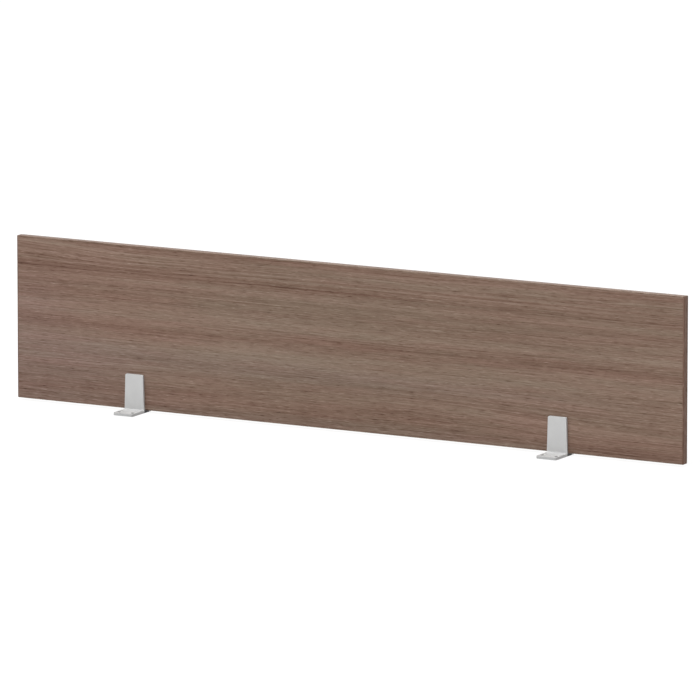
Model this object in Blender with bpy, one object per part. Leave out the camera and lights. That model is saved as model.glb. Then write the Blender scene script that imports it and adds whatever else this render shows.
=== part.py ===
"""Desk privacy panel: a melamine-faced board with edge bands, held by two welded steel brackets.

Units are metres and +Z is up. The origin is in the middle of the footprint on the desktop,
+X runs along the panel and -Y faces the person who sits at the desk.
"""

import math

import bmesh
import bpy

# Gap between neighbouring pieces
GAP = 0.0003

# Panel, outside sizes with its edge bands on
PANEL_LENGTH = 1.360
PANEL_HEIGHT = 0.300
PANEL_THICKNESS = 0.016
BAND_THICKNESS = 0.002
BAND_EDGE_RADIUS = 0.0015

# Bracket foot, which lies on the desktop and reaches under the panel
FOOT_WIDTH = 0.040
FOOT_DEPTH = 0.070
FOOT_THICKNESS = 0.005
FOOT_CORNER_RADIUS = 0.003
FOOT_REACH = 0.046  # front edge of the foot to the panel's front face
BRACKET_INSET = 0.248  # panel's end to the bracket's middle

# Screw holes through the foot
SCREW_HOLE_RADIUS = 0.00275
SCREW_HOLE_CHAMFER = 0.0004
SCREW_HOLE_SPACING = 0.028
SCREW_HOLE_SETBACK = 0.012  # front edge of the foot to the holes' middles

# Bracket upright, which stands against the panel's front face
UPRIGHT_HEIGHT = 0.065
UPRIGHT_THICKNESS = 0.004
UPRIGHT_TOP_WIDTH = 0.0365
UPRIGHT_CORNER_RADIUS = 0.003
WELD_FILLET_RADIUS = 0.0025
EASED_EDGE = 0.0004  # what blasting and powder coat leave of each sharp edge

# Fastenings: sleeve nuts pressed into the back of the upright, bolts from the panel's rear
FASTENER_HEIGHTS = {"lower": 0.0245, "upper": 0.0565}
SOCKET_RADIUS = 0.004
SOCKET_DEPTH = 0.0025
SLEEVE_RADIUS = 0.005
SLEEVE_LENGTH = 0.0102
SLEEVE_BORE_DEPTH = 0.0086
SHANK_RADIUS = 0.003
SHANK_LENGTH = 0.0137
SHANK_CHAMFER = 0.0006
HEAD_RADIUS = 0.0075
HEAD_THICKNESS = 0.002
HEAD_EDGE_RADIUS = 0.001
HEX_KEY_SIZE = 0.004  # across flats
HEX_DEPTH = 0.0025

# Smoothness of the round shapes
ROUND_SIDES = 32
CORNER_STEPS = 6
BAND_STEPS = 4
SHARP_ANGLE = math.radians(32)

# Places that follow from the sizes above
FOOT_FRONT = -FOOT_DEPTH / 2
PANEL_FRONT = FOOT_FRONT + FOOT_REACH
PANEL_BACK = PANEL_FRONT + PANEL_THICKNESS
PANEL_BOTTOM = FOOT_THICKNESS + GAP
PANEL_TOP = PANEL_BOTTOM + PANEL_HEIGHT
PANEL_END = PANEL_LENGTH / 2
BOARD_END = PANEL_END - BAND_THICKNESS - GAP
BRACKET_X = PANEL_END - BRACKET_INSET
UPRIGHT_BACK = PANEL_FRONT - GAP
UPRIGHT_FRONT = UPRIGHT_BACK - UPRIGHT_THICKNESS
UPRIGHT_TOP = FOOT_THICKNESS + UPRIGHT_HEIGHT
BRACKETS = {"left": -BRACKET_X, "right": BRACKET_X}


# ---------------------------------------------------------------- scene and materials


def clear_scene():
    for thing in list(bpy.data.objects):
        bpy.data.objects.remove(thing, do_unlink=True)


def material(name, colour, roughness, metallic):
    mat = bpy.data.materials.new(name)
    mat.use_nodes = True
    shader = mat.node_tree.nodes["Principled BSDF"]
    shader.inputs["Base Color"].default_value = (*colour, 1.0)
    shader.inputs["Roughness"].default_value = roughness
    shader.inputs["Metallic"].default_value = metallic
    mat.diffuse_color = (*colour, 1.0)
    return mat


def decor_board_material():
    return material("decor_board", (0.216, 0.153, 0.119), 0.45, 0.0)


def edge_band_material():
    return material("edge_band", (0.205, 0.145, 0.112), 0.40, 0.0)


def powder_coat_material():
    return material("powder_coat", (0.560, 0.560, 0.555), 0.50, 0.0)


def plated_steel_material():
    return material("plated_steel", (0.620, 0.610, 0.590), 0.30, 1.0)


# ---------------------------------------------------------------- mesh helpers


def mesh_from(name, shape, mat):
    """A mesh from a bmesh, with its normals out and its round faces smooth."""
    bmesh.ops.recalc_face_normals(shape, faces=shape.faces)
    mesh = bpy.data.meshes.new(name)
    shape.to_mesh(mesh)
    shape.free()
    mesh.materials.append(mat)
    mesh.shade_smooth()
    mesh.set_sharp_from_angle(angle=SHARP_ANGLE)
    return mesh


def place(name, mesh, parent, location=(0.0, 0.0, 0.0)):
    thing = bpy.data.objects.new(name, mesh)
    bpy.context.scene.collection.objects.link(thing)
    thing.location = location
    thing.parent = parent
    return thing


def empty(name, location, parent=None):
    thing = bpy.data.objects.new(name, None)
    bpy.context.scene.collection.objects.link(thing)
    thing.empty_display_size = 0.02
    thing.location = location
    thing.parent = parent
    return thing


def block(low, high):
    """A box between two corners."""
    shape = bmesh.new()
    bmesh.ops.create_cube(shape, size=1.0)
    for vert in shape.verts:
        for axis in range(3):
            vert.co[axis] = high[axis] if vert.co[axis] > 0 else low[axis]
    return shape


def turned(profile, along):
    """A solid of revolution about the Y or Z axis through the origin.

    The profile's (radius, distance along the axis) points start and end on the axis.
    """
    shape = bmesh.new()
    rings = []
    for radius, distance in profile:
        sides = ROUND_SIDES if radius > 0 else 1
        ring = []
        for step in range(sides):
            turn = math.tau * step / sides
            across = radius * math.cos(turn), radius * math.sin(turn)
            if along == "Z":
                ring.append(shape.verts.new((across[0], across[1], distance)))
            else:
                ring.append(shape.verts.new((across[0], distance, across[1])))
        rings.append(ring)
    for lower, upper in zip(rings, rings[1:]):
        for step in range(ROUND_SIDES):
            after = (step + 1) % ROUND_SIDES
            corners = []
            for vert in (
                lower[step % len(lower)],
                lower[after % len(lower)],
                upper[after % len(upper)],
                upper[step % len(upper)],
            ):
                if vert not in corners:
                    corners.append(vert)
            shape.faces.new(corners)
    return shape


def round_edges(shape, chosen, radius, steps):
    edges = [edge for edge in shape.edges if chosen(edge.verts[0].co, edge.verts[1].co)]
    bmesh.ops.bevel(
        shape,
        geom=edges,
        offset=radius,
        offset_type="OFFSET",
        segments=steps,
        profile=0.5,
        affect="EDGES",
        clamp_overlap=True,
    )


def cut(thing, cutter):
    """Takes the cutter's shape out of an object, and keeps the cutter as a hidden guide."""
    cutter.hide_render = True
    cutter.display_type = "WIRE"
    boolean = thing.modifiers.new(cutter.name, "BOOLEAN")
    boolean.operation = "DIFFERENCE"
    boolean.solver = "EXACT"
    boolean.object = cutter


def even_shading(thing):
    """Keeps flat faces looking flat round the holes that were cut in them."""
    normals = thing.modifiers.new("even_shading", "WEIGHTED_NORMAL")
    normals.keep_sharp = True


# ---------------------------------------------------------------- panel


def panel_board(mat, parent):
    """The chipboard core with its two decor faces, drilled for the four fastenings."""
    shape = block(
        (-BOARD_END, PANEL_FRONT, PANEL_BOTTOM + BAND_THICKNESS + GAP),
        (BOARD_END, PANEL_BACK, PANEL_TOP - BAND_THICKNESS - GAP),
    )
    board = place("panel_board", mesh_from("panel_board", shape, mat), parent)
    drill = mesh_from("board_drill", turned(board_hole_profile(), "Y"), mat)
    for side, x in BRACKETS.items():
        for level, height in FASTENER_HEIGHTS.items():
            cutter = place(f"board_drill_{side}_{level}", drill, parent, (x, 0.0, height))
            cut(board, cutter)
    even_shading(board)


def board_hole_profile():
    """Wide from the front for the sleeve nut, narrow behind it for the bolt's shank."""
    wide = SLEEVE_RADIUS + GAP
    narrow = SHANK_RADIUS + GAP
    shoulder = PANEL_FRONT + SLEEVE_LENGTH + GAP
    past = 0.002
    return [
        (0.0, PANEL_FRONT - past),
        (wide, PANEL_FRONT - past),
        (wide, shoulder),
        (narrow, shoulder),
        (narrow, PANEL_BACK + past),
        (0.0, PANEL_BACK + past),
    ]


def long_band(name, mat, parent, outer, inner):
    """A band along the top or bottom edge, between the two end bands."""
    low, high = min(outer, inner), max(outer, inner)
    shape = block((-BOARD_END, PANEL_FRONT, low), (BOARD_END, PANEL_BACK, high))
    round_edges(
        shape,
        lambda a, b: math.isclose(a.z, outer, abs_tol=GAP / 10)
        and math.isclose(b.z, outer, abs_tol=GAP / 10)
        and abs(a.x - b.x) > PANEL_HEIGHT,
        BAND_EDGE_RADIUS,
        BAND_STEPS,
    )
    return place(name, mesh_from(name, shape, mat), parent)


def end_band(name, mat, parent, side):
    """A band down one end, over the full height, with its outer face rounded all round."""
    outer = side * PANEL_END
    inner = side * (PANEL_END - BAND_THICKNESS)
    shape = block(
        (min(outer, inner), PANEL_FRONT, PANEL_BOTTOM),
        (max(outer, inner), PANEL_BACK, PANEL_TOP),
    )
    round_edges(
        shape,
        lambda a, b: not (
            math.isclose(a.x, inner, abs_tol=GAP / 10)
            and math.isclose(b.x, inner, abs_tol=GAP / 10)
        ),
        BAND_EDGE_RADIUS,
        BAND_STEPS,
    )
    return place(name, mesh_from(name, shape, mat), parent)


def panel(board_mat, band_mat):
    origin = empty("panel_origin", (0.0, 0.0, 0.0))
    panel_board(board_mat, origin)
    long_band("edge_band_top", band_mat, origin, PANEL_TOP, PANEL_TOP - BAND_THICKNESS)
    long_band("edge_band_bottom", band_mat, origin, PANEL_BOTTOM, PANEL_BOTTOM + BAND_THICKNESS)
    end_band("edge_band_left", band_mat, origin, -1)
    end_band("edge_band_right", band_mat, origin, 1)


# ---------------------------------------------------------------- brackets


def bracket_profile():
    """The side view of foot and upright, as (y, z) points from the foot's top, round the back."""
    fillet = []
    for step in range(CORNER_STEPS + 1):
        turn = math.radians(90) * step / CORNER_STEPS
        fillet.append(
            (
                UPRIGHT_FRONT - WELD_FILLET_RADIUS * (1 - math.cos(turn)),
                FOOT_THICKNESS + WELD_FILLET_RADIUS * (1 - math.sin(turn)),
            )
        )
    upright = [
        (UPRIGHT_BACK, FOOT_THICKNESS),
        (UPRIGHT_BACK, UPRIGHT_TOP),
        (UPRIGHT_FRONT, UPRIGHT_TOP),
        *fillet,
    ]
    foot = [
        (FOOT_FRONT, FOOT_THICKNESS),
        (FOOT_FRONT, 0.0),
        (-FOOT_FRONT, 0.0),
        (-FOOT_FRONT, FOOT_THICKNESS),
    ]
    return upright, foot


def half_width(height):
    """Half the bracket's width: the foot is straight, and the upright narrows to its top."""
    rise = max(0.0, height - FOOT_THICKNESS) / UPRIGHT_HEIGHT
    return (FOOT_WIDTH + (UPRIGHT_TOP_WIDTH - FOOT_WIDTH) * rise) / 2


def bracket_mesh(mat):
    upright, foot = bracket_profile()
    shape = bmesh.new()
    sides = []
    for sign in (-1, 1):
        points = upright + foot
        sides.append([shape.verts.new((sign * half_width(z), y, z)) for y, z in points])
    count = len(upright) + len(foot)
    for step in range(count):
        after = (step + 1) % count
        shape.faces.new((sides[0][step], sides[0][after], sides[1][after], sides[1][step]))
    for side in sides:
        shape.faces.new(side[: len(upright)])
        shape.faces.new([side[0], side[len(upright) - 1], *side[len(upright) :]])
    bmesh.ops.recalc_face_normals(shape, faces=shape.faces)
    round_edges(shape, is_upright_corner, UPRIGHT_CORNER_RADIUS, CORNER_STEPS)
    round_edges(shape, is_foot_corner, FOOT_CORNER_RADIUS, CORNER_STEPS)
    return mesh_from("bracket", shape, mat)


def is_upright_corner(a, b):
    across = abs(a.y - b.y) > UPRIGHT_THICKNESS / 2 and abs(a.x - b.x) < GAP
    return across and min(a.z, b.z) > UPRIGHT_TOP - GAP


def is_foot_corner(a, b):
    upright_edge = abs(a.z - b.z) > FOOT_THICKNESS / 2 and abs(a.y - b.y) < GAP
    return upright_edge and min(abs(a.y), abs(b.y)) > FOOT_DEPTH / 2 - GAP


def screw_hole_profile():
    """Through the foot, with a small chamfer at both faces."""
    past = 0.0006
    wide = SCREW_HOLE_RADIUS + SCREW_HOLE_CHAMFER + past
    return [
        (0.0, -past),
        (wide, -past),
        (SCREW_HOLE_RADIUS, SCREW_HOLE_CHAMFER),
        (SCREW_HOLE_RADIUS, FOOT_THICKNESS - SCREW_HOLE_CHAMFER),
        (wide, FOOT_THICKNESS + past),
        (0.0, FOOT_THICKNESS + past),
    ]


def blind_socket_profile():
    """The shallow round socket in the back of the upright that a sleeve nut is pressed into."""
    floor = UPRIGHT_BACK - SOCKET_DEPTH
    past = 0.001
    return [
        (0.0, floor),
        (SOCKET_RADIUS, floor),
        (SOCKET_RADIUS, UPRIGHT_BACK + past),
        (0.0, UPRIGHT_BACK + past),
    ]


def bracket(side, mesh, screw_drill, socket_drill, origin):
    piece = place(f"bracket_{side}", mesh, origin)
    easing = piece.modifiers.new("eased_edges", "BEVEL")
    easing.width = EASED_EDGE
    easing.segments = 2
    easing.limit_method = "ANGLE"
    easing.angle_limit = SHARP_ANGLE
    holes = {"outer": -SCREW_HOLE_SPACING / 2, "inner": SCREW_HOLE_SPACING / 2}
    for hole, x in holes.items():
        place_at = (x, FOOT_FRONT + SCREW_HOLE_SETBACK, 0.0)
        cut(piece, place(f"screw_drill_{side}_{hole}", screw_drill, origin, place_at))
    for level, height in FASTENER_HEIGHTS.items():
        place_at = (0.0, 0.0, height)
        cut(piece, place(f"socket_drill_{side}_{level}", socket_drill, origin, place_at))
    even_shading(piece)


# ---------------------------------------------------------------- fastenings


def sleeve_nut_mesh(mat):
    """A round nut with a pressed-in foot at the front and a blind thread from the rear."""
    start = PANEL_FRONT
    mouth = start + SLEEVE_LENGTH
    bore = SHANK_RADIUS + GAP
    profile = [
        (0.0, UPRIGHT_BACK - SOCKET_DEPTH + GAP),
        (SOCKET_RADIUS - GAP, UPRIGHT_BACK - SOCKET_DEPTH + GAP),
        (SOCKET_RADIUS - GAP, start),
        (SLEEVE_RADIUS, start),
        (SLEEVE_RADIUS, mouth - SHANK_CHAMFER),
        (SLEEVE_RADIUS - SHANK_CHAMFER, mouth),
        (bore, mouth),
        (bore, mouth - SLEEVE_BORE_DEPTH),
        (0.0, mouth - SLEEVE_BORE_DEPTH),
    ]
    return mesh_from("sleeve_nut", turned(profile, "Y"), mat)


def bolt_mesh(mat):
    """A flat-headed connector bolt, its head outside the panel's rear face."""
    seat = PANEL_BACK + GAP
    face = seat + HEAD_THICKNESS
    tip = seat - SHANK_LENGTH
    head_edge = []
    for step in range(CORNER_STEPS + 1):
        turn = math.radians(90) * step / CORNER_STEPS
        head_edge.append(
            (
                HEAD_RADIUS - HEAD_EDGE_RADIUS * (1 - math.cos(turn)),
                face - HEAD_EDGE_RADIUS * (1 - math.sin(turn)),
            )
        )
    profile = [
        (0.0, tip),
        (SHANK_RADIUS - SHANK_CHAMFER, tip),
        (SHANK_RADIUS, tip + SHANK_CHAMFER),
        (SHANK_RADIUS, seat),
        (HEAD_RADIUS, seat),
        *head_edge,
        (0.0, face),
    ]
    return mesh_from("connector_bolt", turned(profile, "Y"), mat)


def hex_key_mesh(mat):
    """The six-sided recess in a bolt's head."""
    shape = bmesh.new()
    face = PANEL_BACK + GAP + HEAD_THICKNESS
    past = 0.001
    radius = HEX_KEY_SIZE / 2 / math.cos(math.radians(30))
    ring = []
    for step in range(6):
        turn = math.radians(60) * step
        ring.append(shape.verts.new((radius * math.cos(turn), face - HEX_DEPTH, radius * math.sin(turn))))
    floor = shape.faces.new(ring)
    raised = bmesh.ops.extrude_face_region(shape, geom=[floor])["geom"]
    for vert in raised:
        if isinstance(vert, bmesh.types.BMVert):
            vert.co.y = face + past
    return mesh_from("hex_key", shape, mat)


# ---------------------------------------------------------------- assembly


def main():
    clear_scene()
    coat = powder_coat_material()
    steel = plated_steel_material()
    panel(decor_board_material(), edge_band_material())
    shared_bracket = bracket_mesh(coat)
    screw_drill = mesh_from("screw_drill", turned(screw_hole_profile(), "Z"), coat)
    socket_drill = mesh_from("socket_drill", turned(blind_socket_profile(), "Y"), coat)
    shared_sleeve = sleeve_nut_mesh(steel)
    shared_bolt = bolt_mesh(steel)
    shared_key = hex_key_mesh(steel)
    for side, x in BRACKETS.items():
        origin = empty(f"bracket_origin_{side}", (x, 0.0, 0.0))
        bracket(side, shared_bracket, screw_drill, socket_drill, origin)
        for level, height in FASTENER_HEIGHTS.items():
            place_at = (0.0, 0.0, height)
            place(f"sleeve_nut_{side}_{level}", shared_sleeve, origin, place_at)
            bolt = place(f"bolt_{side}_{level}", shared_bolt, origin, place_at)
            cut(bolt, place(f"hex_key_{side}_{level}", shared_key, origin, place_at))
            even_shading(bolt)


main()
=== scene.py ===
"""Looks of the desk privacy panel: ash decor, edge bands, powder-coated brackets and plated bolts."""

import math

import bmesh
import bpy
from mathutils import Matrix, Vector


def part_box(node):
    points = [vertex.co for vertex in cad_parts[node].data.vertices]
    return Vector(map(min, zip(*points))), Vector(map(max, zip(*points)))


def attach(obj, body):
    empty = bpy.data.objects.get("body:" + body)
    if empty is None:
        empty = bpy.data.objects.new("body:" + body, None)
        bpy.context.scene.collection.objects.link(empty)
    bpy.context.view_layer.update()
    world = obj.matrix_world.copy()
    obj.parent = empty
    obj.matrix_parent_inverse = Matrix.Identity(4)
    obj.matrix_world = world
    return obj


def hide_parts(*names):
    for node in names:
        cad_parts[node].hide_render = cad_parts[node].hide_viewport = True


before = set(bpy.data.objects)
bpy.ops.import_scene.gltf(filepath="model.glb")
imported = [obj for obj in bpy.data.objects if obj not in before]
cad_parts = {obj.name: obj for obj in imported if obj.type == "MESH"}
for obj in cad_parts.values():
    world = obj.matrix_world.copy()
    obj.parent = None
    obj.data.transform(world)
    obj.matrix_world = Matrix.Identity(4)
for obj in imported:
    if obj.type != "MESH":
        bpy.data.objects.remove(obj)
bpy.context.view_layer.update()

SIDES = ("left", "right")
LEVELS = ("lower", "upper")

# Places that model.glb gives
BOARD_LOW, BOARD_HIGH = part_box("panel_board")
PANEL_LOW = Vector((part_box("edge_band_left")[0].x, BOARD_LOW.y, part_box("edge_band_left")[0].z))
PANEL_HIGH = Vector((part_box("edge_band_right")[1].x, BOARD_HIGH.y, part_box("edge_band_right")[1].z))

# Edge bands and the glue line behind them, in metres
BAND_THICKNESS = 0.002
BAND_EDGE_RADIUS = 0.0015
BAND_STEPS = 8
GLUE_RECESS = 0.0002

# Bracket, in metres
FOOT_THICKNESS = 0.005
FOOT_CORNER_RADIUS = 0.003
UPRIGHT_THICKNESS = 0.004
UPRIGHT_TOP_WIDTH = 0.0365
UPRIGHT_CORNER_RADIUS = 0.003
UPRIGHT_GAP = 0.0003
WELD_FILLET_RADIUS = 0.0025
EASED_EDGE = 0.0005
EASED_STEPS = 3
SCREW_HOLE_RADIUS = 0.00275
SCREW_HOLE_CHAMFER = 0.00015
SCREW_HOLE_SPACING = 0.028
SCREW_HOLE_SETBACK = 0.012
SOCKET_RADIUS = 0.004
SOCKET_DEPTH = 0.0025

# Bolt, in metres
HEAD_THICKNESS = 0.002
HEAD_EDGE_RADIUS = 0.001
HEX_SIDES = 6
HEX_KEY_SIZE = 0.004
HEX_DEPTH = 0.0025
HEX_COUNTERSINK = 0.0002
SHANK_RADIUS = 0.003
THREAD_PITCH = 0.001
THREAD_DEPTH = 0.00055
THREAD_LENGTH = 0.010
SHANK_CHAMFER = 0.0006
# One turn of the thread: part of the pitch, part of the depth
THREAD_CREST = 0.10
THREAD_TURN = ((THREAD_CREST, 0.0), (0.50, 1.0), (0.60, 1.0))

# How far a cutter reaches past the surface that it cuts, and how close two places are the same, in metres
CUT_PAST = 0.0006
SAME_PLACE = 0.00001
ROUND_SIDES = 64
CORNER_STEPS = 12
SHARP_ANGLE = math.radians(35)

# Camera: angles in degrees, distances in metres, lens and sensor in millimetres
VIEW_AZIMUTH = 28.83
VIEW_ELEVATION = 10.18
VIEW_DISTANCE = 16.59
VIEW_LENS = 477.5
VIEW_SENSOR = 36.0
VIEW_FARTHEST = 100.0
VIEW_TARGET = (0.0, 0.0, 0.155)
VIEW_RIGHT = 0.0159
VIEW_UP = -0.0015


# ---------------------------------------------------------------- mesh helpers


def mesh_from(name, shape, mat):
    bmesh.ops.recalc_face_normals(shape, faces=shape.faces)
    mesh = bpy.data.meshes.new(name)
    shape.to_mesh(mesh)
    shape.free()
    mesh.materials.append(mat)
    mesh.shade_smooth()
    mesh.set_sharp_from_angle(angle=SHARP_ANGLE)
    return mesh


def piece(name, mesh, replaced=(), location=(0.0, 0.0, 0.0)):
    """A visible piece that rides on the part's one body."""
    thing = bpy.data.objects.new(name, mesh)
    bpy.context.scene.collection.objects.link(thing)
    thing.location = location
    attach(thing, "root")
    if replaced:
        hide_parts(*replaced)
    return thing


def block(low, high):
    shape = bmesh.new()
    bmesh.ops.create_cube(shape, size=1.0)
    for vert in shape.verts:
        for axis in range(3):
            vert.co[axis] = high[axis] if vert.co[axis] > 0 else low[axis]
    return shape


def turned(profile, along, sides=ROUND_SIDES):
    """A solid of revolution from (radius, distance along the axis) points, on the axis at both ends."""
    shape = bmesh.new()
    rings = []
    for radius, distance in profile:
        ring = []
        for step in range(sides if radius > 0 else 1):
            turn = math.tau * step / sides
            across = radius * math.cos(turn), radius * math.sin(turn)
            if along == "Z":
                ring.append(shape.verts.new((across[0], across[1], distance)))
            else:
                ring.append(shape.verts.new((across[0], distance, across[1])))
        rings.append(ring)
    for lower, upper in zip(rings, rings[1:]):
        for step in range(sides):
            after = (step + 1) % sides
            corners = []
            for vert in (
                lower[step % len(lower)],
                lower[after % len(lower)],
                upper[after % len(upper)],
                upper[step % len(upper)],
            ):
                if vert not in corners:
                    corners.append(vert)
            shape.faces.new(corners)
    return shape


def arc(steps, radius, centre, start, stop):
    """Points of an arc about a centre, between two angles in degrees."""
    points = []
    for step in range(steps + 1):
        turn = math.radians(start + (stop - start) * step / steps)
        points.append((centre[0] + radius * math.cos(turn), centre[1] + radius * math.sin(turn)))
    return points


def round_edges(shape, chosen, radius, steps):
    edges = [edge for edge in shape.edges if chosen(edge.verts[0].co, edge.verts[1].co)]
    bmesh.ops.bevel(
        shape,
        geom=edges,
        offset=radius,
        offset_type="OFFSET",
        segments=steps,
        profile=0.5,
        affect="EDGES",
        clamp_overlap=True,
    )


def settle(thing):
    """Makes what a piece's modifiers do its own mesh."""
    graph = bpy.context.evaluated_depsgraph_get()
    final = bpy.data.meshes.new_from_object(thing.evaluated_get(graph), depsgraph=graph)
    thing.modifiers.clear()
    thing.data = final


def cut_and_settle(thing, cutters):
    """Cuts shapes out of a piece for good, and keeps its flat faces flat to the light."""
    for cutter in cutters:
        boolean = thing.modifiers.new("cut", "BOOLEAN")
        boolean.operation = "DIFFERENCE"
        boolean.solver = "EXACT"
        boolean.object = cutter
    settle(thing)
    for cutter in cutters:
        bpy.data.objects.remove(cutter)
    thing.data.set_sharp_from_angle(angle=SHARP_ANGLE)
    even = thing.modifiers.new("even", "WEIGHTED_NORMAL")
    even.keep_sharp = True
    settle(thing)


def guide(name, mesh, location):
    thing = bpy.data.objects.new(name, mesh)
    bpy.context.scene.collection.objects.link(thing)
    thing.location = location
    return thing


# ---------------------------------------------------------------- material helpers


class Nodes:
    """Adds and wires the shader nodes of one material."""

    def __init__(self, name):
        self.material = bpy.data.materials.new(name)
        self.material.use_nodes = True
        self.tree = self.material.node_tree
        self.shader = self.tree.nodes["Principled BSDF"]
        self.place = self.add("ShaderNodeTexCoord").outputs["Object"]

    def add(self, kind, **settings):
        node = self.tree.nodes.new(kind)
        for name, value in settings.items():
            setattr(node, name, value)
        return node

    def put(self, socket, value):
        if isinstance(value, bpy.types.NodeSocket):
            self.tree.links.new(value, socket)
        else:
            socket.default_value = value

    def math(self, operation, *values):
        node = self.add("ShaderNodeMath", operation=operation)
        for socket, value in zip(node.inputs, values):
            self.put(socket, value)
        return node.outputs[0]

    def split(self, vector):
        node = self.add("ShaderNodeSeparateXYZ")
        self.put(node.inputs[0], vector)
        return node.outputs

    def join(self, x, y, z):
        node = self.add("ShaderNodeCombineXYZ")
        for socket, value in zip(node.inputs, (x, y, z)):
            self.put(socket, value)
        return node.outputs[0]

    def noise(self, vector, scale, detail, roughness=0.5):
        """Soft noise about zero, from -1 to 1 at most."""
        node = self.add("ShaderNodeTexNoise")
        self.put(node.inputs["Vector"], vector)
        self.put(node.inputs["Scale"], scale)
        self.put(node.inputs["Detail"], detail)
        self.put(node.inputs["Roughness"], roughness)
        return self.math("MULTIPLY_ADD", node.outputs[0], 2.0, -1.0)

    def streak(self, distance, middle, width):
        """1 at the middle, fading to 0 at about two widths either side."""
        off = self.math("DIVIDE", self.math("SUBTRACT", distance, middle), width)
        return self.math("EXPONENT", self.math("MULTIPLY", self.math("MULTIPLY", off, off), -1.0))

    def total(self, *values):
        result = values[0]
        for value in values[1:]:
            result = self.math("ADD", result, value)
        return result

    def between(self, value, low, high):
        """0 below low, 1 above high, smooth between."""
        node = self.add("ShaderNodeMapRange", interpolation_type="SMOOTHSTEP")
        for socket, setting in zip(node.inputs, (value, low, high, 0.0, 1.0)):
            self.put(socket, setting)
        return node.outputs[0]

    def blend(self, factor, first, second):
        node = self.add("ShaderNodeMix", data_type="RGBA", blend_type="MIX")
        self.put(node.inputs[0], factor)
        self.put(node.inputs[6], first)
        self.put(node.inputs[7], second)
        return node.outputs[2]

    def distance_from(self, first, second):
        """How far a point is from an axis, from its distances in two directions across that axis."""
        squares = self.math("ADD", self.math("POWER", first, 2.0), self.math("POWER", second, 2.0))
        return self.math("SQRT", squares)

    def colour(self, value):
        self.put(self.shader.inputs["Base Color"], value)

    def roughness(self, pattern, swing, middle):
        """A roughness that swings about its middle value as a pattern does."""
        self.put(self.shader.inputs["Roughness"], self.math("MULTIPLY_ADD", pattern, swing, middle))

    def bump(self, height, distance, strength):
        node = self.add("ShaderNodeBump")
        self.put(node.inputs["Height"], height)
        node.inputs["Distance"].default_value = distance
        node.inputs["Strength"].default_value = strength
        self.tree.links.new(node.outputs[0], self.shader.inputs["Normal"])


# ---------------------------------------------------------------- wood decor

# Along the grain the print's sizes are in metres. Across it, widths and distances are in millimetres.
MM = 0.001

# Streaks of the printed ash: distance below the panel's top edge, half width, strength
DECOR_STREAKS = (
    (4.0, 1.6, -0.16),
    (9.5, 1.3, -0.10),
    (14.5, 1.6, 0.12),
    (18.5, 1.2, -0.10),
    (22.0, 12.0, 0.06),
    (27.5, 1.3, -0.14),
    (31.5, 1.2, 0.07),
    (36.0, 1.3, -0.16),
    (40.0, 1.2, 0.07),
    (44.5, 1.6, -0.20),
    (51.0, 2.4, -0.24),
    (57.0, 2.4, -0.10),
    (68.0, 6.0, 0.04),
    (78.5, 4.0, -0.09),
    (92.0, 14.0, -0.04),
    (122.0, 9.0, 0.12),
    (139.0, 3.0, -0.05),
    (150.0, 11.0, -0.12),
    (177.0, 11.0, 0.11),
    (194.0, 7.0, 0.04),
    (232.0, 12.0, -0.03),
    (236.0, 1.5, -0.09),
    (267.0, 9.0, -0.10),
    (281.0, 3.0, -0.07),
    (290.0, 8.0, -0.16),
)
# Downhill runs of the grain: first and last x, distance below the top edge, half height, lift at each end
DECOR_BENDS = (
    (-0.70, -0.40, 18.0, 24.0, 11.0, 0.0),
    (0.14, 0.62, 250.0, 36.0, 8.0, -8.0),
)
# Darker and lighter places: x, distance below the top edge, half length, half height, strength
DECOR_SHADES = (
    (-0.62, 47.0, 0.22, 2.6, -0.16),
    (-0.60, 76.0, 0.10, 3.0, -0.10),
    (-0.60, 12.0, 0.20, 8.0, 0.10),
    (-0.52, 138.0, 0.24, 7.0, 0.10),
    (-0.40, 155.0, 0.12, 10.0, -0.06),
    (0.30, 36.0, 0.18, 1.8, -0.14),
    (0.00, 228.0, 0.20, 14.0, -0.05),
    (0.00, 278.0, 0.25, 16.0, -0.08),
    (0.22, 182.0, 0.12, 1.6, -0.12),
    (0.52, 160.0, 0.16, 6.0, 0.07),
    (0.58, 290.0, 0.16, 9.0, -0.14),
    (-0.50, 215.0, 0.22, 18.0, 0.06),
    (-0.50, 150.0, 0.22, 7.0, 0.06),
    (0.50, 240.0, 0.09, 12.0, 0.05),
)
# Rosier and more olive places, in the same terms
DECOR_BLUSHES = (
    (0.00, 6.0, 1.00, 12.0, 0.25),
    (-0.56, 60.0, 0.24, 60.0, 0.55),
    (-0.60, 140.0, 0.18, 40.0, 0.30),
    (-0.42, 155.0, 0.14, 24.0, 0.40),
    (-0.04, 145.0, 0.13, 15.0, 0.25),
    (0.55, 150.0, 0.14, 20.0, 0.25),
    (0.58, 268.0, 0.16, 18.0, 0.45),
    (-0.30, 268.0, 0.10, 16.0, 0.25),
    (0.38, 250.0, 0.08, 14.0, 0.45),
    (-0.05, 90.0, 0.30, 30.0, -0.50),
    (-0.10, 205.0, 0.34, 34.0, -0.50),
    (0.30, 185.0, 0.16, 16.0, -0.25),
    (0.05, 292.0, 0.35, 12.0, -0.60),
)
# Faintly bluer places, in the same terms
DECOR_COOLS = (
    (-0.68, 235.0, 0.26, 75.0, 1.00),
    (-0.10, 208.0, 0.50, 22.0, 0.60),
    (-0.66, 110.0, 0.10, 60.0, 0.45),
    (0.00, 294.0, 0.90, 12.0, 0.45),
)
# Smooth grain, coarse to fine: length, width, octaves, strength
DECOR_GRAIN = (
    (0.50, 30.0, 1.0, 0.10),
    (0.30, 18.0, 2.0, 0.09),
    (0.90, 1.9, 2.0, 0.36),
    (0.28, 1.6, 2.0, 0.34),
    (0.050, 1.4, 3.0, 0.44),
)
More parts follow.
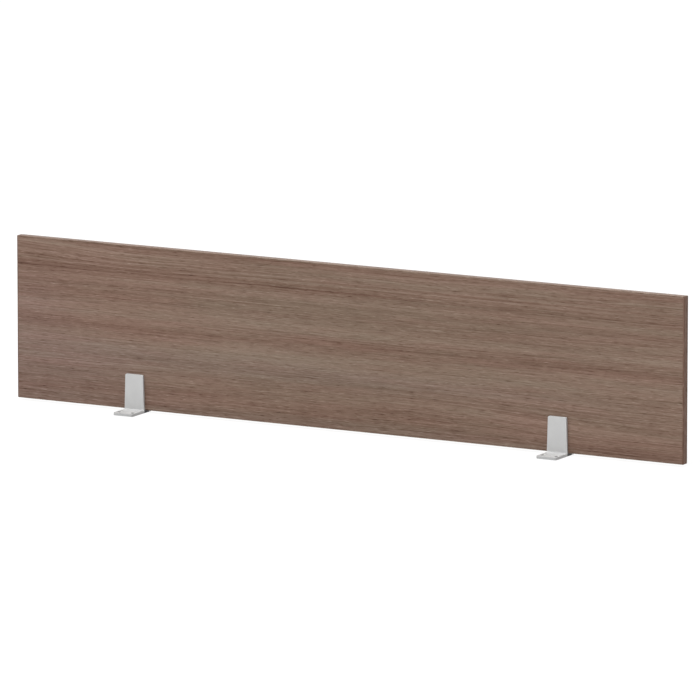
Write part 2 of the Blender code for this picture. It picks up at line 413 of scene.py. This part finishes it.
# Separate fibres and pores: length, width, the noise where they start and are full, strength
DECOR_DASHES = (
    (0.240, 1.6, 0.15, 0.50, -0.28),
    (0.050, 1.5, 0.12, 0.50, -0.28),
    (0.018, 1.4, 0.10, 0.45, -0.33),
    (0.070, 1.6, 0.15, 0.55, 0.20),
    (0.018, 1.4, 0.12, 0.50, 0.35),
)
# Waves that the whole print follows: length, width, octaves, seed, sway
DECOR_SWAYS = (
    (0.80, 110.0, 1.0, 3.0, 6.0),
    (0.14, 24.0, 1.0, 7.0, 1.8),
)
# Other noise in the print: length, width, octaves, seed
SWELLS = (0.35, 14.0, 2.0, 5.0)
HAIRS = (0.016, 0.42, 2.0, 37.0)
WARM_PATCHES = (0.22, 15.0, 3.0, 41.0)
COOL_PATCHES = (0.30, 20.0, 2.0, 43.0)
FIRST_GRAIN_SEED = 11
FIRST_DASH_SEED = 23
FACE_SEED_SCALE = 90.0
LINE_ROUGHNESS = 0.6

# How much each of them counts
SWELL_GAIN = 0.8
HAIR_STRENGTH = 0.22
HAIR_ON_DASHES = 2.2
WARM_IN_DARK = -1.2
WARM_RANGE = (-0.8, 0.8)
COOL_PATCH_STRENGTH = 0.3
COOL_RANGE = (-0.1, 1.0)
COOL_GAIN = 0.09

ASH_ROSY = (0.236, 0.145, 0.108, 1.0)
ASH_OLIVE = (0.215, 0.153, 0.110, 1.0)
# Where the print is darker it is also browner: how fast red, green and blue fade
FADES = (0.90, 1.15, 1.30)
ASH_ROUGHNESS = 0.46
DASH_ROUGHNESS = -0.25
GRAIN_RELIEF = 0.5
RELIEF_HEIGHT = 0.0002
RELIEF_STRENGTH = 0.4


class Decor(Nodes):
    """The parts of a printed ash whose grain runs along one axis; along and across are "X", "Y" or "Z"."""

    def __init__(self, name, along, across, top_edge):
        super().__init__(name)
        place = dict(zip("XYZ", self.split(self.place)))
        self.along = place[along]
        self.depth = place[({"X", "Y", "Z"} - {along, across}).pop()]
        self.below = self.math("MULTIPLY", self.math("SUBTRACT", top_edge, place[across]), 1 / MM)
        self.bent = self.below

    def lines(self, length, width, octaves, seed):
        """Noise drawn out along the grain, and different on each face."""
        vector = self.join(
            self.math("DIVIDE", self.along, length),
            self.math("DIVIDE", self.bent, width),
            self.math("MULTIPLY_ADD", self.depth, FACE_SEED_SCALE, seed),
        )
        return self.noise(vector, 1.0, octaves, LINE_ROUGHNESS)

    def bend(self, bends):
        """Makes all that is drawn from here on follow the print's waves and its downhill runs."""
        bent = self.below
        for *waves, sway in DECOR_SWAYS:
            bent = self.math("MULTIPLY_ADD", self.lines(*waves), sway, bent)
        for first, last, middle, half, lift_first, lift_last in bends:
            course = self.between(self.along, first, last)
            lift = self.math("MULTIPLY_ADD", course, lift_last - lift_first, lift_first)
            bent = self.math("MULTIPLY_ADD", lift, self.streak(self.below, middle, half), bent)
        self.bent = bent

    def bands(self, streaks, swells):
        """Long streaks that swell and fade along their length."""
        bands = 0.0
        for middle, half, strength in streaks:
            bands = self.math("MULTIPLY_ADD", self.streak(self.bent, middle, half), strength, bands)
        return self.math("MULTIPLY", bands, self.math("MULTIPLY_ADD", swells, SWELL_GAIN, 1.0))

    def places(self, start, spots):
        """Adds soft oval places to a value."""
        for x, middle, half_length, half_height, strength in spots:
            along_it = self.streak(self.along, x, half_length)
            spot = self.math("MULTIPLY", along_it, self.streak(self.bent, middle, half_height))
            start = self.math("MULTIPLY_ADD", spot, strength, start)
        return start

    def grain(self):
        grain = 0.0
        for seed, (length, width, octaves, strength) in enumerate(DECOR_GRAIN, FIRST_GRAIN_SEED):
            waves = self.lines(length, width, octaves, seed)
            grain = self.math("MULTIPLY_ADD", waves, strength, grain)
        return grain

    def dashes(self, hairs):
        """Fibres and pores, each broken up by the finest hairs."""
        dashes = 0.0
        for seed, (length, width, start, full, strength) in enumerate(DECOR_DASHES, FIRST_DASH_SEED):
            marks = self.between(self.lines(length, width, 1.0, seed), start, full)
            dashes = self.math("MULTIPLY_ADD", marks, strength, dashes)
        return self.math("MULTIPLY", dashes, self.math("MULTIPLY_ADD", hairs, HAIR_ON_DASHES, 1.0))

    def tint(self, bands, blushes):
        """The print's hue, between olive and rosy; dark bands are rosier."""
        warmth = self.math("MULTIPLY_ADD", bands, WARM_IN_DARK, self.lines(*WARM_PATCHES))
        return self.blend(self.between(self.places(warmth, blushes), *WARM_RANGE), ASH_OLIVE, ASH_ROSY)

    def shading(self, shade, cools):
        """How bright red, green and blue are, for the print's shade and its bluer places."""
        patches = self.math("MULTIPLY", self.lines(*COOL_PATCHES), COOL_PATCH_STRENGTH)
        cool = self.between(self.places(patches, cools), *COOL_RANGE)
        red, green, blue = (self.math("POWER", shade, fade) for fade in FADES)
        blue = self.math("MULTIPLY", blue, self.math("MULTIPLY_ADD", cool, COOL_GAIN, 1.0))
        return self.join(red, green, blue)


def ash_decor(
    name, along, across, top_edge, streaks, bends=(), shades=(), blushes=(), cools=(), painted_shade_level=1.0, gloss=0.2
):
    """The finished print of one surface, laid out from the places of its streaks, shades and hues."""
    decor = Decor(name, along, across, top_edge)
    swells = decor.lines(*SWELLS)
    decor.bend(bends)
    bands = decor.places(decor.bands(streaks, swells), shades)
    hairs = decor.lines(*HAIRS)
    grain = decor.grain()
    dashes = decor.dashes(hairs)
    # A base below 1 darkens the whole print: painted shade on the end bands
    shade = decor.total(painted_shade_level, bands, grain, dashes, decor.math("MULTIPLY", hairs, HAIR_STRENGTH))
    shaded = decor.add("ShaderNodeVectorMath", operation="MULTIPLY")
    decor.put(shaded.inputs[0], decor.tint(bands, blushes))
    decor.put(shaded.inputs[1], decor.shading(shade, cools))
    decor.colour(shaded.outputs[0])
    decor.shader.inputs["Specular IOR Level"].default_value = gloss
    decor.roughness(dashes, DASH_ROUGHNESS, ASH_ROUGHNESS)
    decor.bump(decor.math("MULTIPLY_ADD", grain, GRAIN_RELIEF, dashes), RELIEF_HEIGHT, RELIEF_STRENGTH)
    return decor.material


def board_material():
    return ash_decor(
        "decor_board",
        "X",
        "Z",
        PANEL_HIGH.z,
        DECOR_STREAKS,
        DECOR_BENDS,
        DECOR_SHADES,
        DECOR_BLUSHES,
        DECOR_COOLS,
    )


LONG_BAND_STREAKS = ((5.0, 2.0, -0.10), (11.0, 2.0, 0.06))
END_BAND_STREAKS = ((4.0, 1.5, -0.08), (10.0, 2.0, 0.05))
END_BAND_BLUSH = ((0.15, 8.0, 1.0, 40.0, 0.9),)
# Painted shade: how much darker the end bands are drawn than the rest
END_BAND_PAINTED_SHADE = 0.84
END_BAND_GLOSS = 0.05


def long_band_material():
    return ash_decor("edge_band_long", "X", "Y", PANEL_HIGH.y, LONG_BAND_STREAKS)


def end_band_material():
    """The end bands are rosier and duller than the rest, and drawn darker as painted shade."""
    return ash_decor(
        "edge_band_end",
        "Z",
        "Y",
        PANEL_HIGH.y,
        END_BAND_STREAKS,
        blushes=END_BAND_BLUSH,
        painted_shade_level=END_BAND_PAINTED_SHADE,
        gloss=END_BAND_GLOSS,
    )


# ---------------------------------------------------------------- other materials

GLUE_DARK = (0.10, 0.070, 0.050, 1.0)
GLUE_PALE = (0.17, 0.125, 0.095, 1.0)
GLUE_SPECKLE_SCALE = 900.0


def glue_material():
    """Brown hot-melt adhesive, speckled with filler."""
    nodes = Nodes("glue_line")
    speckle = nodes.between(nodes.noise(nodes.place, GLUE_SPECKLE_SCALE, 3.0), -0.4, 0.5)
    nodes.colour(nodes.blend(speckle, GLUE_DARK, GLUE_PALE))
    nodes.roughness(speckle, 0.2, 0.55)
    return nodes.material


# Painted shade: near black, drawn on the screw holes' walls and on the foot where the panel stands over it
PAINTED_SHADE = (0.050, 0.049, 0.047, 1.0)
COAT_DARK = (0.572, 0.572, 0.570, 1.0)
COAT_PALE = (0.604, 0.604, 0.601, 1.0)
# Painted shade: the foot is drawn greyer below its top face's eased edge, on its front, back, sides and
# underside
FOOT_LOWER_SHADE = (0.475, 0.475, 0.473, 1.0)
COAT_CLOUD_SCALE = 45.0
COAT_GRAIN_SCALE = 2600.0
COAT_PEEL_SCALE = 1500.0
COAT_PEEL_HEIGHT = 0.00006
# Where the painted shade in a screw hole starts to fade and where it ends, in metres out from the hole's
# wall
HOLE_SHADE_STARTS_FADING = 0.00005
HOLE_SHADE_ENDS = 0.0002
# The foot's painted shade under the panel, in metres
UNDER_FRONT = 0.008
UNDER_BACK = 0.027
UNDER_TOP = FOOT_THICKNESS + 0.0003
UNDER_BLUR = 0.0025
UNDER_TOP_BLUR = 0.0005


def around_screw_holes(nodes, x, y):
    """0 inside a foot's screw holes, where shade is painted, 1 outside them."""
    aside = nodes.math("SUBTRACT", nodes.math("ABSOLUTE", x), SCREW_HOLE_SPACING / 2)
    ahead = nodes.math("SUBTRACT", y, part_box("bracket_left")[0].y + SCREW_HOLE_SETBACK)
    from_hole = nodes.distance_from(aside, ahead)
    return nodes.between(from_hole, SCREW_HOLE_RADIUS + HOLE_SHADE_STARTS_FADING, SCREW_HOLE_RADIUS + HOLE_SHADE_ENDS)


def painted_shade_under_panel(nodes, y, z):
    """1 on the stretch of the foot that the panel stands over, where shade is painted, 0 elsewhere."""
    from_front = nodes.between(y, UNDER_FRONT, UNDER_FRONT + UNDER_BLUR)
    from_back = nodes.between(y, UNDER_BACK, UNDER_BACK - UNDER_BLUR)
    low_down = nodes.between(z, UNDER_TOP, UNDER_TOP - UNDER_TOP_BLUR)
    return nodes.math("MULTIPLY", nodes.math("MULTIPLY", from_front, from_back), low_down)


def powder_coat_material():
    """Light grey powder with a fine orange peel; shade is painted near black in the screw holes and under
    the panel, and grey on the foot's lower faces.
    """
    nodes = Nodes("powder_coat")
    cloud = nodes.between(nodes.noise(nodes.place, COAT_CLOUD_SCALE, 3.0), -0.5, 0.5)
    grain = nodes.noise(nodes.place, COAT_GRAIN_SCALE, 2.0)
    peel = nodes.noise(nodes.place, COAT_PEEL_SCALE, 2.0)
    x, y, z = nodes.split(nodes.place)
    # Painted shade: 0 where the screw holes and the stretch under the panel are drawn near black
    unshaded = nodes.math("SUBTRACT", around_screw_holes(nodes, x, y), painted_shade_under_panel(nodes, y, z))
    # Painted shade: 1 on the foot below its top face's eased edge, where it is drawn greyer
    edges = nodes.between(z, FOOT_THICKNESS - EASED_EDGE, FOOT_THICKNESS - EASED_EDGE * 2)
    coat = nodes.blend(edges, nodes.blend(cloud, COAT_DARK, COAT_PALE), FOOT_LOWER_SHADE)
    nodes.colour(nodes.blend(unshaded, PAINTED_SHADE, coat))
    nodes.shader.inputs["Specular IOR Level"].default_value = 0.2
    nodes.roughness(grain, 0.08, 0.50)
    nodes.bump(nodes.math("ADD", peel, nodes.math("MULTIPLY", grain, 0.4)), COAT_PEEL_HEIGHT, 0.5)
    return nodes.material


ZINC_BLUISH = (0.60, 0.61, 0.62, 1.0)
ZINC_YELLOWISH = (0.69, 0.67, 0.63, 1.0)
ZINC_CAST_SCALE = 260.0
# Turning marks: rings to a metre out from the axis and along it
MARKS_ACROSS = 5200.0
MARKS_ALONG = 900.0
MARK_HEIGHT = 0.00003


def plated_steel_material():
    """Bright zinc over turned steel: rings about the bolt's axis, and a faint bluish cast in places."""
    nodes = Nodes("plated_steel")
    x, y, z = nodes.split(nodes.place)
    across = nodes.math("MULTIPLY", nodes.distance_from(x, z), MARKS_ACROSS)
    rings = nodes.noise(nodes.join(across, nodes.math("MULTIPLY", y, MARKS_ALONG), 0.0), 1.0, 2.0)
    cast = nodes.between(nodes.noise(nodes.place, ZINC_CAST_SCALE, 3.0), -0.4, 0.5)
    nodes.colour(nodes.blend(cast, ZINC_BLUISH, ZINC_YELLOWISH))
    nodes.shader.inputs["Metallic"].default_value = 1.0
    nodes.roughness(rings, 0.10, 0.30)
    nodes.bump(rings, MARK_HEIGHT, 0.6)
    return nodes.material


# ---------------------------------------------------------------- panel


def rounded_band(name, low, high, outer_axis, outer, ends_too, mat):
    """A band with its outer long edges rounded; ends_too rounds the edges across its ends as well."""
    shape = block(low, high)

    def chosen(a, b):
        outside = math.isclose(a[outer_axis], outer, abs_tol=SAME_PLACE)
        also = math.isclose(b[outer_axis], outer, abs_tol=SAME_PLACE)
        if ends_too:
            return outside or also
        runs_along = abs(a.x - b.x) > BAND_THICKNESS * 2
        return outside and also and runs_along

    round_edges(shape, chosen, BAND_EDGE_RADIUS, BAND_STEPS)
    return mesh_from(name, shape, mat)


def edge_bands(long_mat, end_mat):
    for name, outer_side in (("edge_band_top", 1), ("edge_band_bottom", 0)):
        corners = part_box(name)
        mesh = rounded_band(f"{name}_strip", *corners, 2, corners[outer_side].z, False, long_mat)
        piece(f"{name}_strip", mesh, [name])
    for name, outer_side in (("edge_band_right", 1), ("edge_band_left", 0)):
        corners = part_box(name)
        mesh = rounded_band(f"{name}_strip", *corners, 0, corners[outer_side].x, True, end_mat)
        piece(f"{name}_strip", mesh, [name])


def glue_line(mat):
    """The hot-melt adhesive around the board, between its edges and the bands, a hair below the faces."""
    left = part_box("edge_band_left")[1].x
    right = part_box("edge_band_right")[0].x
    columns = (left, BOARD_LOW.x, BOARD_HIGH.x, right)
    rows = (
        PANEL_LOW.z + BAND_EDGE_RADIUS,
        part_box("edge_band_bottom")[1].z,
        BOARD_LOW.z,
        BOARD_HIGH.z,
        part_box("edge_band_top")[0].z,
        PANEL_HIGH.z - GLUE_RECESS,
    )
    front = BOARD_LOW.y + GLUE_RECESS
    back = BOARD_HIGH.y - GLUE_RECESS
    ends = [(column, row) for column in (0, 2) for row in range(len(rows) - 1)]
    under_and_over = [(1, 1), (1, 3)]
    shape = bmesh.new()
    corners = {}
    filled = []
    for column, row in ends + under_and_over:
        ring = []
        for key in ((column, row), (column + 1, row), (column + 1, row + 1), (column, row + 1)):
            if key not in corners:
                corners[key] = shape.verts.new((columns[key[0]], front, rows[key[1]]))
            ring.append(corners[key])
        filled.append(shape.faces.new(ring))
    pulled = bmesh.ops.extrude_face_region(shape, geom=filled)["geom"]
    for part in pulled:
        if isinstance(part, bmesh.types.BMVert):
            part.co.y = back
    piece("glue_line", mesh_from("glue_line", shape, mat))


# ---------------------------------------------------------------- brackets


def bracket_mesh(mat):
    """Foot and upright in one, about the bracket's own middle, with a weld fillet at the front."""
    low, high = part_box("bracket_left")
    width = high.x - low.x
    back = BOARD_LOW.y - UPRIGHT_GAP
    front = back - UPRIGHT_THICKNESS
    fillet = arc(
        CORNER_STEPS,
        WELD_FILLET_RADIUS,
        (front - WELD_FILLET_RADIUS, FOOT_THICKNESS + WELD_FILLET_RADIUS),
        0,
        -90,
    )
    upright = [(back, FOOT_THICKNESS), (back, high.z), (front, high.z), *fillet]
    foot = [(low.y, FOOT_THICKNESS), (low.y, 0.0), (high.y, 0.0), (high.y, FOOT_THICKNESS)]

    def half_width(z):
        rise = max(0.0, z - FOOT_THICKNESS) / (high.z - FOOT_THICKNESS)
        return (width + (UPRIGHT_TOP_WIDTH - width) * rise) / 2

    shape = bmesh.new()
    sides = []
    for sign in (-1, 1):
        sides.append([shape.verts.new((sign * half_width(z), y, z)) for y, z in upright + foot])
    count = len(upright) + len(foot)
    for step in range(count):
        after = (step + 1) % count
        shape.faces.new((sides[0][step], sides[0][after], sides[1][after], sides[1][step]))
    for side in sides:
        shape.faces.new(side[: len(upright)])
        shape.faces.new([side[0], side[len(upright) - 1], *side[len(upright) :]])
    bmesh.ops.recalc_face_normals(shape, faces=shape.faces)

    def upright_corner(a, b):
        across = abs(a.y - b.y) > UPRIGHT_THICKNESS / 2 and math.isclose(a.x, b.x, abs_tol=SAME_PLACE)
        return across and min(a.z, b.z) > high.z - SAME_PLACE

    def foot_corner(a, b):
        standing = abs(a.z - b.z) > FOOT_THICKNESS / 2 and math.isclose(a.y, b.y, abs_tol=SAME_PLACE)
        return standing and (max(a.y, b.y) < low.y + SAME_PLACE or min(a.y, b.y) > high.y - SAME_PLACE)

    round_edges(shape, upright_corner, UPRIGHT_CORNER_RADIUS, CORNER_STEPS)
    round_edges(shape, foot_corner, FOOT_CORNER_RADIUS, CORNER_STEPS)
    return mesh_from("bracket", shape, mat)


def screw_hole_mesh(mat):
    """A cutter for a screw hole with both rims chamfered."""
    wide = SCREW_HOLE_RADIUS + SCREW_HOLE_CHAMFER + CUT_PAST
    hole = [
        (0.0, -CUT_PAST),
        (wide, -CUT_PAST),
        (SCREW_HOLE_RADIUS, SCREW_HOLE_CHAMFER),
        (SCREW_HOLE_RADIUS, FOOT_THICKNESS - SCREW_HOLE_CHAMFER),
        (wide, FOOT_THICKNESS + CUT_PAST),
        (0.0, FOOT_THICKNESS + CUT_PAST),
    ]
    return mesh_from("screw_hole", turned(hole, "Z"), mat)


def nut_socket_mesh(mat):
    """A cutter for the shallow socket in the back of the upright that takes a sleeve nut."""
    back = BOARD_LOW.y - UPRIGHT_GAP
    socket = [
        (0.0, back - SOCKET_DEPTH),
        (SOCKET_RADIUS, back - SOCKET_DEPTH),
        (SOCKET_RADIUS, back + CUT_PAST),
        (0.0, back + CUT_PAST),
    ]
    return mesh_from("nut_socket", turned(socket, "Y"), mat)


def bracket(side, mat):
    node = f"bracket_{side}"
    low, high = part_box(node)
    middle = (low.x + high.x) / 2
    thing = piece(f"{node}_welded", bracket_mesh(mat), [node], (middle, 0.0, 0.0))
    easing = thing.modifiers.new("eased_edges", "BEVEL")
    easing.width = EASED_EDGE
    easing.segments = EASED_STEPS
    easing.limit_method = "ANGLE"
    easing.angle_limit = SHARP_ANGLE
    hole_mesh = screw_hole_mesh(mat)
    socket_mesh = nut_socket_mesh(mat)
    cutters = []
    for sign in (-1, 1):
        place = (middle + sign * SCREW_HOLE_SPACING / 2, low.y + SCREW_HOLE_SETBACK, 0.0)
        cutters.append(guide("screw_hole", hole_mesh, place))
    for level in LEVELS:
        nut_low, nut_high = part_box(f"sleeve_nut_{side}_{level}")
        cutters.append(guide("nut_socket", socket_mesh, (middle, 0.0, (nut_low.z + nut_high.z) / 2)))
    cut_and_settle(thing, cutters)


# ---------------------------------------------------------------- bolts


def bolt_outline(start, face, radius):
    """Half the bolt's outline, from the shank's tip at start to the head's face."""
    seat = face - HEAD_THICKNESS
    rim = arc(CORNER_STEPS, HEAD_EDGE_RADIUS, (radius - HEAD_EDGE_RADIUS, face - HEAD_EDGE_RADIUS), 0, 90)
    first_turn = start + SHANK_CHAMFER
    thread = []
    for turn in range(int(THREAD_LENGTH / THREAD_PITCH)):
        for along, deep in THREAD_TURN:
            place = first_turn + (turn + along) * THREAD_PITCH
            thread.append((SHANK_RADIUS - THREAD_DEPTH * deep, place))
    return [
        (0.0, start),
        (SHANK_RADIUS - SHANK_CHAMFER, start),
        *thread,
        (SHANK_RADIUS, first_turn + THREAD_LENGTH + THREAD_PITCH * THREAD_CREST),
        (SHANK_RADIUS, seat),
        (radius - EASED_EDGE / 2, seat),
        (radius, seat + EASED_EDGE / 2),
        *rim,
        (0.0, face),
    ]


def hex_meshes(face, mat):
    """Cutters for the six-sided recess in a head and for its countersunk rim."""
    flat = HEX_KEY_SIZE / 2
    corner = flat / math.cos(math.pi / HEX_SIDES)
    recess = [
        (0.0, face - HEX_DEPTH),
        (corner, face - HEX_DEPTH),
        (corner, face + CUT_PAST),
        (0.0, face + CUT_PAST),
    ]
    inner = flat - HEX_COUNTERSINK
    outer = corner + HEX_COUNTERSINK
    bottom = face - (outer - inner) / 2
    countersink = [
        (0.0, bottom),
        (inner, bottom),
        (outer, face),
        (outer + CUT_PAST * 2, face + CUT_PAST),
        (0.0, face + CUT_PAST),
    ]
    hexagon = mesh_from("hexagon", turned(recess, "Y", HEX_SIDES), mat)
    return hexagon, mesh_from("countersink", turned(countersink, "Y"), mat)


def bolt(side, level, mat):
    """Flat head with a rounded rim and a six-sided recess, on a threaded shank."""
    node = f"bolt_{side}_{level}"
    low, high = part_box(node)
    middle = ((low.x + high.x) / 2, 0.0, (low.z + high.z) / 2)
    outline = bolt_outline(low.y, high.y, (high.x - low.x) / 2)
    mesh = mesh_from(node, turned(outline, "Y"), mat)
    thing = piece(f"{node}_turned", mesh, [node], middle)
    cut_and_settle(thing, [guide("cutter", mesh, middle) for mesh in hex_meshes(high.y, mat)])


# ---------------------------------------------------------------- stage

FLOOR_REACH = 40.0
FLOOR_THICKNESS = 0.02
FLOOR_GLOW = 0.92
FLOOR_DARK = (0.10, 0.10, 0.10, 1.0)
FLOOR_PALE = (0.11, 0.11, 0.11, 1.0)
FLOOR_DRIFT_SCALE = 0.6

# Lights: directions that they shine towards, brightness, spread in degrees
KEY_LIGHT = ((0.20, 0.42, -1.0), 3.1, 40)
REAR_LIGHT = ((0.10, -0.50, -1.0), 0.9, 60)
# Sky: brightness of the room, of its softbox and of its horizon
SKY_DIM = 0.04
SKY_SOFTBOX = 1.15
SKY_HORIZON = 1.0
SOFTBOX_TOWARDS = (-0.45, 0.85, 0.25)
# The softbox starts and is full at these cosines of the angle from its middle
SOFTBOX_START = 0.6
SOFTBOX_FULL = 0.97
# The horizon is full and ends at these heights, as sines
HORIZON_FULL = 0.04
HORIZON_END = 0.10


def floor_material():
    """White and lit from within, as a light table is, so that shadows on it stay pale."""
    nodes = Nodes("floor")
    drift = nodes.between(nodes.noise(nodes.place, FLOOR_DRIFT_SCALE, 2.0), -0.5, 0.5)
    nodes.colour(nodes.blend(drift, FLOOR_DARK, FLOOR_PALE))
    nodes.shader.inputs["Emission Color"].default_value = (1.0, 1.0, 1.0, 1.0)
    nodes.shader.inputs["Emission Strength"].default_value = FLOOR_GLOW
    nodes.shader.inputs["Roughness"].default_value = 0.9
    nodes.shader.inputs["Specular IOR Level"].default_value = 0.1
    return nodes.material


def stage():
    shape = block((-FLOOR_REACH, -FLOOR_REACH, -FLOOR_THICKNESS), (FLOOR_REACH, FLOOR_REACH, 0.0))
    floor = bpy.data.objects.new("floor", mesh_from("floor", shape, floor_material()))
    bpy.context.scene.collection.objects.link(floor)


def sun(name, towards, strength, spread):
    """A broad soft light that shines towards a direction."""
    light = bpy.data.lights.new(name, "SUN")
    light.energy = strength
    light.angle = math.radians(spread)
    thing = bpy.data.objects.new(name, light)
    thing.rotation_euler = Vector(towards).to_track_quat("-Z", "Y").to_euler()
    bpy.context.scene.collection.objects.link(thing)


def sky():
    """A dim even room with a white horizon and one broad softbox, low down behind the panel."""
    world = bpy.data.worlds.new("studio")
    bpy.context.scene.world = world
    world.use_nodes = True
    tree = world.node_tree
    background = tree.nodes["Background"]
    place = tree.nodes.new("ShaderNodeTexCoord").outputs["Generated"]

    def fade(value, start, stop, first, last):
        node = tree.nodes.new("ShaderNodeMapRange")
        node.interpolation_type = "SMOOTHSTEP"
        tree.links.new(value, node.inputs[0])
        for socket, setting in zip(list(node.inputs)[1:5], (start, stop, first, last)):
            socket.default_value = setting
        return node.outputs[0]

    facing = tree.nodes.new("ShaderNodeVectorMath")
    facing.operation = "DOT_PRODUCT"
    tree.links.new(place, facing.inputs[0])
    facing.inputs[1].default_value = Vector(SOFTBOX_TOWARDS).normalized()
    height = tree.nodes.new("ShaderNodeSeparateXYZ")
    tree.links.new(place, height.inputs[0])
    both = tree.nodes.new("ShaderNodeMath")
    both.operation = "MAXIMUM"
    softbox = fade(facing.outputs["Value"], SOFTBOX_START, SOFTBOX_FULL, SKY_DIM, SKY_SOFTBOX)
    tree.links.new(softbox, both.inputs[0])
    horizon = fade(height.outputs["Z"], HORIZON_FULL, HORIZON_END, SKY_HORIZON, 0.0)
    tree.links.new(horizon, both.inputs[1])
    tree.links.new(both.outputs[0], background.inputs["Strength"])
    background.inputs["Color"].default_value = (1.0, 1.0, 1.0, 1.0)


def lights():
    sun("key", *KEY_LIGHT)
    sun("rear_fill", *REAR_LIGHT)
    sky()


def camera():
    azimuth = math.radians(VIEW_AZIMUTH)
    elevation = math.radians(VIEW_ELEVATION)
    back = Vector(
        (
            math.sin(azimuth) * math.cos(elevation),
            -math.cos(azimuth) * math.cos(elevation),
            math.sin(elevation),
        )
    )
    right = Vector((math.cos(azimuth), math.sin(azimuth), 0.0))
    up = back.cross(right)
    data = bpy.data.cameras.new("camera")
    data.lens = VIEW_LENS
    data.sensor_width = VIEW_SENSOR
    data.clip_end = VIEW_FARTHEST
    thing = bpy.data.objects.new("camera", data)
    thing.location = Vector(VIEW_TARGET) + right * VIEW_RIGHT + up * VIEW_UP + back * VIEW_DISTANCE
    thing.rotation_euler = Matrix((right, up, back)).transposed().to_euler()
    bpy.context.scene.collection.objects.link(thing)
    bpy.context.scene.camera = thing


# ---------------------------------------------------------------- assembly


def dress(node, mat):
    """Gives a carried-over CAD node its finish."""
    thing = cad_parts[node]
    thing.data.materials.clear()
    thing.data.materials.append(mat)


def main():
    bpy.context.scene.view_settings.view_transform = "Standard"
    camera()
    lights()
    stage()
    dress("panel_board", board_material())
    edge_bands(long_band_material(), end_band_material())
    glue_line(glue_material())
    coat = powder_coat_material()
    steel = plated_steel_material()
    for side in SIDES:
        bracket(side, coat)
        for level in LEVELS:
            bolt(side, level, steel)
            dress(f"sleeve_nut_{side}_{level}", steel)


main()
